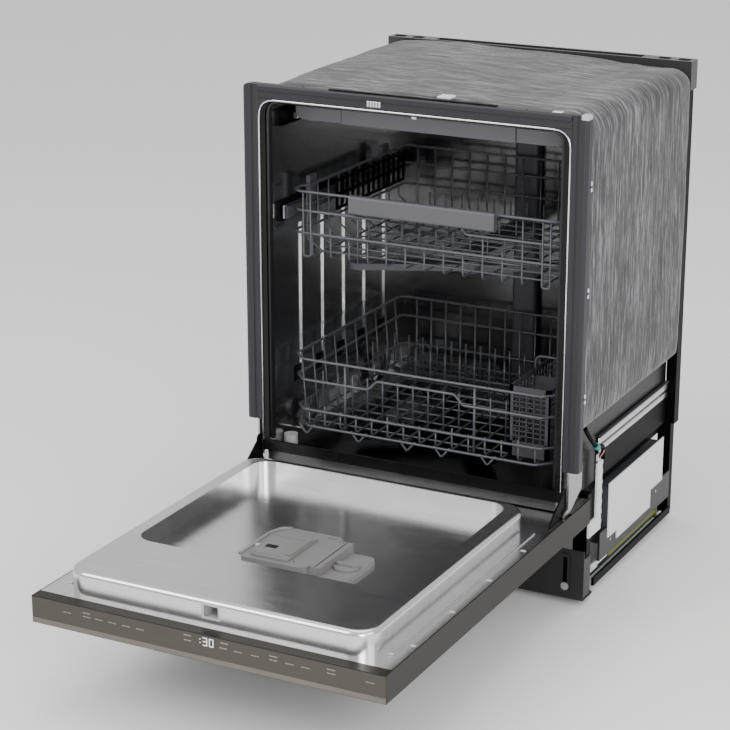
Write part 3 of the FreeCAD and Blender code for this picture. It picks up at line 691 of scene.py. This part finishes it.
# ------------------------------------------------------------------ trims, opening edge, tags
# Grooved sections of the trims: distance from the middle or height, then depth.
SIDE_SECTION = [(281, 1.3), (281, -0.4), (282.6, -1.4), (289.6, -1.4), (290.6, -0.1), (292.4, -0.1),
                (293.4, -1.9), (303.4, -1.9), (305.0, -0.9), (306.2, -0.9), (308.4, 0.8), (309, 2.6),
                (309, 16), (306, 16), (306, 1.3)]
TOP_SECTION = [(825, 1.3), (825, -0.4), (826.6, -1.4), (833.6, -1.4), (834.6, -0.2), (836.6, -0.2),
               (837.8, -1.9), (845.2, -1.9), (848, -0.4), (848, 1.3)]


def loft(name, rings):
    """Closed skin through equal rings of points, capped at both ends."""
    verts = [p for ring in rings for p in ring]
    n = len(rings[0])
    faces = [(r * n + k, r * n + (k + 1) % n, (r + 1) * n + (k + 1) % n, (r + 1) * n + k)
             for r in range(len(rings) - 1) for k in range(n)]
    faces.append(tuple(reversed(range(n))))
    faces.append(tuple(range((len(rings) - 1) * n, len(rings) * n)))
    mesh = mesh_from(name, verts, faces, False)
    bm = bmesh.new()
    bm.from_mesh(mesh)
    bmesh.ops.recalc_face_normals(bm, faces=bm.faces)
    bm.to_mesh(mesh)
    bm.free()
    return mesh


def block(name, x, y, z, finish, body, soft=0.0, *replaced):
    """A small box-shaped piece with softened edges, given by its ranges in mm."""
    corners = [at(x[0], y[0], z[0]), at(x[1], y[0], z[0]), at(x[1], y[1], z[0]), at(x[0], y[1], z[0])]
    mesh = extruded(name, corners, Vector((0, 0, (z[1] - z[0]) * MM)))
    obj = piece(name, mesh, finish, body, *replaced)
    if soft:
        soften(obj, soft * MM)
    return obj


def opening_line(half, y, foot, top):
    """Corners of a line up one side of the opening, across it and down the other."""
    return [at(-half, y, foot), at(-half, y, top), at(half, y, top), at(half, y, foot)]


def side_span(sign, near, far):
    """Range in x of a piece between two distances from the middle, on one side."""
    return sorted((sign * near, sign * far))


def opening():
    """Trims with their grooves, the bright opening edge, the seal, tags, back ridges and side pads."""
    for sign, side in ((-1, "left"), (1, "right")):
        rings = []
        bend_from = FRAME_TOP - TRIM_CORNER
        for z in [261] + spread(bend_from, FRAME_TOP, 9):
            drop = math.sqrt(max(0.0, TRIM_CORNER ** 2 - (z - bend_from) ** 2))
            reach = TRIM_HALF - TRIM_CORNER + drop if z > bend_from else TRIM_HALF
            rings.append([at(sign * min(x, reach), y, z) for x, y in SIDE_SECTION])
        replaced = ("side_trims",) if sign < 0 else ()
        obj = piece(f"side_trim_{side}", loft("side_trim", rings), "trim", "root", *replaced)
        soften(obj, 0.0004)
    rings = [[at(x, y, z) for z, y in TOP_SECTION] for x in (-TRIM_INNER, TRIM_INNER)]
    obj = piece("top_trim_moulding", loft("top_trim_moulding", rings), "trim", "root", "top_trim")
    soften(obj, 0.0004)
    edge = Tubes(0.0016, 10)
    edge.bent(opening_line(279, 0.2, 224, 823), 0.030)
    piece("opening_edge", edge.mesh("opening_edge"), "chrome", "root")
    for sign, side in ((-1, "left"), (1, "right")):
        arc = [at(sign * (251 + 29.6 * math.cos(a)), -1.0, 795 + 29.6 * math.sin(a))
               for a in (math.pi / 2 * i / 10 for i in range(11))]
        web = extruded("trim_corner_web", arc + [at(sign * 281.4, -1.0, 825.4)], Vector((0, 0.0022, 0)))
        piece(f"trim_corner_web_{side}", web, "trim", "root")
        block(f"slot_backing_{side}", side_span(sign, 254, 281), (66.5, 68), (20, 95), "black", "root", 0.3)
    seal = Tubes(0.0030, 12)
    seal.bent(opening_line(265.5, 6.4, 229, 821), 0.026)
    piece("seal_bead", seal.mesh("seal_bead"), "gasket", "root")
    block("trim_corner_cap", (296, 308.8), (-2.1, 15.5), (841, 849.4), "pale_gray", "root", 1.2)
    for i in range(5):
        x = -76 + 5.2 * i
        block(f"catch_rib_{i + 1}", (x, x + 4.2), (-2.15, 1.0), (828.5, 838), "chrome", "root", 0.8)
    for i, z in enumerate((734, 561, 384)):
        block(f"edge_tag_{i + 1}_top", (304, 310.2), (15, 19.5), (z + 2, z + 8), "white", "root", 0.6)
        block(f"edge_tag_{i + 1}_band", (303.9, 310.4), (14.8, 19.7), (z - 2, z + 2), "blue", "root", 0.4)
        block(f"edge_tag_{i + 1}_foot", (304, 310.2), (15, 19.5), (z - 8, z - 2), "white", "root", 0.6)
    block("lift_tab", (38, 62), (22, 44), (848, 852), "white", "root", 1.4)
    block("side_tab", (246, 262), (2, 12), (848.2, 850), "white", "root", 0.8)
    ragged = []
    for i in range(41):
        x = -150 + 7.5 * i
        ragged.append((x, 12 + 5 * noise.noise(Vector((x * 0.05, 4.0, 0.0)))))
    outline = [at(x, y, 848.6) for x, y in ragged] + [at(x, 5, 848.6) for x, y in reversed(ragged)]
    tape = extruded("blanket_front_tape", outline, Vector((0, 0, 0.0012)))
    piece("blanket_front_tape", tape, "black", "root")
    for i, z in enumerate((270, 370, 470, 570, 670, 760)):
        block(f"back_ridge_{i + 1}", (-215, 215), (501.5, 504.5), (z, z + 20), "tub_dark", "root", 2.4)
    for sign, side in ((-1, "left"), (1, "right")):
        block(f"side_damping_pad_{side}", side_span(sign, 272.1, 276.4), (18, 498), (192, 330), "black_frame",
              "root", 0.6)


# ------------------------------------------------------------------ door details
SEGMENTS = {"0": "abcdef", "3": "abcdg"}


def segment_boxes(char, x, z, width, height, bar):
    """Boxes of one seven-segment digit."""
    far, middle, top = x + width, z + height / 2, z + height
    places = {
        "a": (x, far, top - bar, top),
        "b": (far - bar, far, middle, top),
        "c": (far - bar, far, z, middle),
        "d": (x, far, z, z + bar),
        "e": (x, x + bar, z, middle),
        "f": (x, x + bar, middle, top),
        "g": (x, far, middle - bar / 2, middle + bar / 2),
    }
    return [places[key] for key in SEGMENTS[char]]


def flat_marks(name, boxes, y, finish, thickness=0.25):
    """Thin printed or lit marks on the door's front edge, as one mesh of small plates."""
    verts = []
    faces = []
    for x0, x1, z0, z1 in boxes:
        first = len(verts)
        for depth in (y - thickness, y + 0.05):
            verts += [at(x0, depth, z0), at(x1, depth, z0), at(x1, depth, z1), at(x0, depth, z1)]
        a = first
        faces += [(a, a + 1, a + 2, a + 3), (a + 7, a + 6, a + 5, a + 4), (a, a + 4, a + 5, a + 1),
                  (a + 1, a + 5, a + 6, a + 2), (a + 2, a + 6, a + 7, a + 3), (a + 3, a + 7, a + 4, a)]
    return piece(name, mesh_from(name, verts, faces, False), finish, "door")


def door_details():
    """Control strip with its marks, latch surround, flange beads and clips, and the webs at the hinges."""
    front = DOOR_EDGE_Y
    strip_x = (-DOOR_STRIP_HALF, DOOR_STRIP_HALF)
    block("strip_lower_band", strip_x, (front - 0.5, front + 3), (142.6, 151), "mark_band", "door", 0.4)
    block("strip_face", strip_x, (front - 0.4, front + 0.6), (151, 184.4), "strip", "door", 0.2)
    digits = []
    for i, char in enumerate("30"):
        digits += segment_boxes(char, 2 + 10.5 * i, 168, 7.5, 13, 1.5)
    digits += [(-3.4, -1.8, 171, 172.6), (-3.4, -1.8, 176.4, 178)]
    flat_marks("display_digits", digits, front - 0.4, "lit")
    marks = []
    for x in (-240, -205, -184, -160, -136, -112, 54, 82, 138, 164, 266):
        marks += [(x, x + 4.5, 169.6, 171), (x + 5.6, x + 8.5, 169.6, 171), (x + 9.6, x + 13, 169.6, 171)]
    for x in (-205, 112, 205):
        marks.append((x, x + 13, 175.5, 176.9))
    for x in (112, 205):
        marks += [(x, x + 5, 169.6, 171), (x + 6.2, x + 13, 169.6, 171)]
    for x, z in ((-30, 178), (-30, 170), (32, 178), (30, 170)):
        marks += [(x, x + 5, z, z + 1.6), (x + 6, x + 12, z, z + 1.6)]
    flat_marks("strip_marks", marks, front - 0.4, "mark")
    latch_y = (-634.7, -632.5)
    for place, x, z in (("top", (-17, 14), (217, 221)), ("foot", (-17, 14), (196, 199.4)),
                        ("left", (-17, -12), (199, 218)), ("right", (11, 14), (199, 218))):
        block(f"latch_surround_{place}", x, latch_y, z, "pale_gray", "door", 0.6)
    for sign, side in ((-1, "left"), (1, "right")):
        block(f"flange_bead_{side}", side_span(sign, 267.5, 276.5), (-600, -96), (185.3, 188.0), "liner",
              "door", 1.2)
        outline = [at(sign * 283.8, y, z) for y, z in ((-2, 232), (-10, 224), (-62, 187), (-2, 187))]
        web = extruded("hinge_web", outline, Vector((sign * 0.0034, 0, 0)))
        soften(piece(f"hinge_web_{side}", web, "black", "door"), 0.0006)
    for i, y in enumerate((-560, -430, -300, -170)):
        block(f"flange_clip_{i + 1}", (283, 291), (y, y + 5), (185.2, 186.4), "pale_gray", "door", 0.4)


def dispenser_details():
    """Raised mouldings round the lid and the rinse-aid bay."""
    rail = [(-63.6, -446), (-63.6, -352), (-54, -330), (-40, -322)]
    arc = Tubes(0.0026, 10)
    arc.bent([at(x, y, 218) for x, y in rail], 0.02)
    piece("dispenser_rail", arc.mesh("dispenser_rail"), "dispenser", "door")
    block("lid_window", (-40, -20), (-412, -400), (220.9, 221.3), "smoked_black", "detergent_lid", 0.3)
    block("lid_ridge", (-44, 4), (-366, -363), (221, 222.2), "dispenser", "detergent_lid", 0.5)
    block("lid_ridge_front", (-44, 4), (-438, -435), (221, 222.2), "dispenser", "detergent_lid", 0.5)
    dots = [(28, -330), (34, -330), (40, -330), (50, -336), (56, -336), (24, -436), (54, -442)]
    for i, (x, y) in enumerate(dots):
        dot_z = (DISPENSER_FACE, DISPENSER_FACE + 0.4)
        block(f"dispenser_dot_{i + 1}", (x, x + 2), (y, y + 2), dot_z, "black", "door")
    groove_z = (DISPENSER_FACE - 0.1, DISPENSER_FACE + 0.35)
    block("dispenser_groove", (62, 63.4), (-438, -332), groove_z, "black", "door")
    ramp = [at(70, y, z) for y, z in
            ((-440, 195.2), (-440, 214), (-432, 217), (-338, 217), (-330, 214), (-330, 195.2))]
    soften(piece("dispenser_end_wall", extruded("dispenser_end_wall", ramp, Vector((0.0014, 0, 0))),
                         "dispenser", "door"), 0.0005)


# ------------------------------------------------------------------ cutlery basket
def basket_detail():
    """Plastic basket: solid corner posts, rim and skirt with a fine grid between."""
    x0, x1, y0, y1, z0, z1 = 158.4, 231.6, 60.4, 261.6, 250.4, 372.6
    verts = []
    faces = []

    def bar(a, b):
        first = len(verts)
        for z in (a[2], b[2]):
            verts.extend([at(a[0], a[1], z), at(b[0], a[1], z), at(b[0], b[1], z), at(a[0], b[1], z)])
        f = first
        faces.extend([(f + 3, f + 2, f + 1, f), (f + 4, f + 5, f + 6, f + 7), (f, f + 1, f + 5, f + 4),
                      (f + 1, f + 2, f + 6, f + 5), (f + 2, f + 3, f + 7, f + 6), (f + 3, f, f + 4, f + 7)])

    skin = 2.4
    for y in (y0, y1 - skin):
        bar((x0, y, z0), (x1, y + skin, z0 + 26))
        bar((x0, y, z1 - 11), (x1, y + skin, z1))
        bar((x0, y, z0), (x0 + 7, y + skin, z1))
        bar((x1 - 8, y, z0), (x1, y + skin, z1))
        for x in spread(x0 + 18, x1 - 17, 4):
            bar((x, y + 0.4, z0 + 20), (x + 1.7, y + skin - 0.4, z1 - 6))
        for z in spread(z0 + 35, z1 - 19, 9):
            bar((x0 + 3, y + 0.4, z), (x1 - 3, y + skin - 0.4, z + 1.5))
    for x in (x0, x1 - skin):
        bar((x, y0, z0), (x + skin, y1, z0 + 14))
        bar((x, y0, z1 - 8), (x + skin, y1, z1))
        for y in (y0, (y0 + y1) / 2 - 3, y1 - 7):
            bar((x, y, z0), (x + skin, y + 7, z1))
        for y in spread(y0 + 15, y1 - 15, 14):
            bar((x + 0.4, y, z0 + 8), (x + skin - 0.4, y + 1.7, z1 - 5))
        for z in spread(z0 + 24, z1 - 18, 9):
            bar((x + 0.4, y0 + 3, z), (x + skin - 0.4, y1 - 3, z + 1.5))
    bar((x0 + 1, y0 + 1, z0), (x1 - 1, y1 - 1, z0 + 2.2))
    middle = (y0 + y1) / 2
    bar((x0 + 1, middle - 1.2, z0), (x1 - 1, middle + 1.2, z1 - 11))
    obj = piece("cutlery_basket_shell", mesh_from("cutlery_basket_shell", verts, faces, False), "basket",
                "cutlery_basket", "cutlery_basket")
    grip = Tubes(0.0024, 10)
    grip.bent([at(x0 + 4, middle, z1 - 12), at(x0 + 4, middle, 396), at(x1 - 4, middle, 396),
               at(x1 - 4, middle, z1 - 12)], 0.012)
    obj = piece("cutlery_basket_grip", grip.mesh("cutlery_basket_grip"), "basket", "cutlery_basket")


# ------------------------------------------------------------------ leads, lower sides, edges
def small_details():
    """The harness's tie and its loose ends."""
    tie = Tubes(0.0056, 12)
    tie.run([at(295, 110, 273), at(295, 120, 266.5)])
    piece("cable_tie", tie.mesh("cable_tie"), "teal", "root")
    leads = (("pink", -2.4, 4), ("brown", 2.2, 7), ("black", 0.0, -6), ("pink", 3.0, -3))
    for i, (finish, dx, dy) in enumerate(leads):
        lead = Tubes(0.0011, 8)
        lead.bent([at(295, 143, 262), at(295 + dx, 146 + dy, 252), at(289 + dx * 0.4, 143 + dy, 240),
                   at(289, 140 + dy, 232)], 0.008)
        piece(f"loose_lead_{i + 1}", lead.mesh("loose_lead"), finish, "root")


def connector_ribs():
    """Ribs on the wiring bracket, wider on its foot than on its upright."""
    for i in range(7):
        z = 118 + 18 * i
        near = 106 if z < 135 else 137
        block(f"connector_rib_{i + 1}", (290.3, 292.2), (near, 155), (z, z + 8), "white", "root", 0.5)


def rim_mesh(name, outer, inner, depth):
    """A flat ring between two loops of the same count, given a thickness."""
    count = len(outer)
    verts = list(outer) + list(inner)
    verts += [v + depth for v in verts]
    faces = []
    for i in range(count):
        j = (i + 1) % count
        faces.append((i, j, count + j, count + i))
        faces.append((2 * count + i, 3 * count + i, 3 * count + j, 2 * count + j))
        faces.append((i, 2 * count + i, 2 * count + j, j))
        faces.append((count + i, count + j, 3 * count + j, 3 * count + i))
    return mesh_from(name, verts, faces, False)


def chamfered_loop(sign, middle, half, cut_x, foot, top, cut_z):
    """Upright loop on the toe kick's face, with its four corners cut off."""
    near, far = middle - half, middle + half
    corners = ((near, foot + cut_z), (near + cut_x, foot), (far - cut_x, foot), (far, foot + cut_z),
               (far, top - cut_z), (far - cut_x, top), (near + cut_x, top), (near, top - cut_z))
    return [at(sign * x, KICK_FACE_Y, z) for x, z in corners]


def lower_side_details():
    """Pressed bottom edge of the tub, with painted shade in its groove and a black plate painted as the
    shadow below it; the box's lower edge, base rails and toe kick returns, the edge and the returns coloured
    as painted shade.
    """
    # The groove between the channel and the flange is coloured near-black as painted shade in the recess.
    skirt = (("channel", 282, (255, 267), "tub", 2.4), ("groove", 280, (250, 256), "shadow_dark", 0.8),
             ("flange", 281.6, (240, 251), "tub", 2.2), ("lip", 284, (268, 270.5), "case_gray", 1.0))
    for sign, side in ((-1, "left"), (1, "right")):
        for part, reach, z, finish, soft in skirt:
            block(f"tub_skirt_{part}_{side}", side_span(sign, 277, reach), SKIRT_Y, z, finish, "root", soft)
        shadow_x, rail_x = side_span(sign, 276.5, 279), side_span(sign, 288.6, 293.4)
        kick_x = side_span(sign, 294.5, 299)
        # A black plate painted as the shadow under the tub's skirt.
        block(f"tub_skirt_shadow_{side}", shadow_x, SKIRT_Y, (191, 240), "black", "root", 0.5)
        block(f"base_side_rail_{side}", rail_x, (126, 505), (12.5, 27), "black", "root", 0.8)
        block(f"toe_kick_return_{side}", kick_x, (64.4, 94), (14, 84), "shadow_dark", "root", 0.8)
        outline = chamfered_loop(sign, 267, 8, 3, 22, 92, 4)
        slot = chamfered_loop(sign, 267, 3.8, 1.8, 28, 86, 2)
        rim = rim_mesh(f"slot_rim_{side}", outline, slot, Vector((0, -0.0012, 0)))
        piece(f"slot_rim_{side}", rim, "kick", "root")
    # The box's lower edge is coloured near-black as painted shade.
    block("box_lower_edge", (285.2, BOX_SIDE_X), (160, 505.5), (44.5, 96), "shadow_dark", "root", 0.8)
    screw_x = (289.0, 290.4)
    block("box_notch_screw_front", screw_x, (206, 211), (66, 71), "zinc", "root", 0.6)
    block("box_notch_screw_rear", screw_x, (428, 433), (78, 83), "zinc", "root", 0.6)


# Edge rounding in mm, and the CAD nodes that have it.
EDGE_ROUNDING = {
    0.2: ("control_display",),
    0.4: ("control_panel", "hinge_brackets", "spring_sleeves"),
    0.5: ("toe_kick", "control_box_cover", "hinge_arms", "door_outer_panel"),
    0.6: ("wiring_bracket", "upper_mid_rails"),
    0.8: ("rear_posts", "base_frame", "rinse_aid_cap", "wall_rails", "upper_inner_rails"),
    1.0: ("detergent_lid", "dispenser_body", "pocket_handle", "sump"),
    1.2: ("rear_brace_bar", "upper_rack_handle"),
    1.5: ("control_box", "float", "rear_water_duct", "upper_spray_arm", "lower_spray_arm"),
}


def soft_cad():
    """Rounded edges on the moulded and pressed parts that keep their designed shape."""
    for width, names in EDGE_ROUNDING.items():
        for name in names:
            soften(NODES[name], width * MM)


# ------------------------------------------------------------------ go
MATERIALS = make_materials()
camera_and_light()
dress_cad()
felt_jacket()
lower_rack()
upper_rack()
third_rack()
opening()
door_details()
dispenser_details()
basket_detail()
small_details()
connector_ribs()
lower_side_details()
soft_cad()
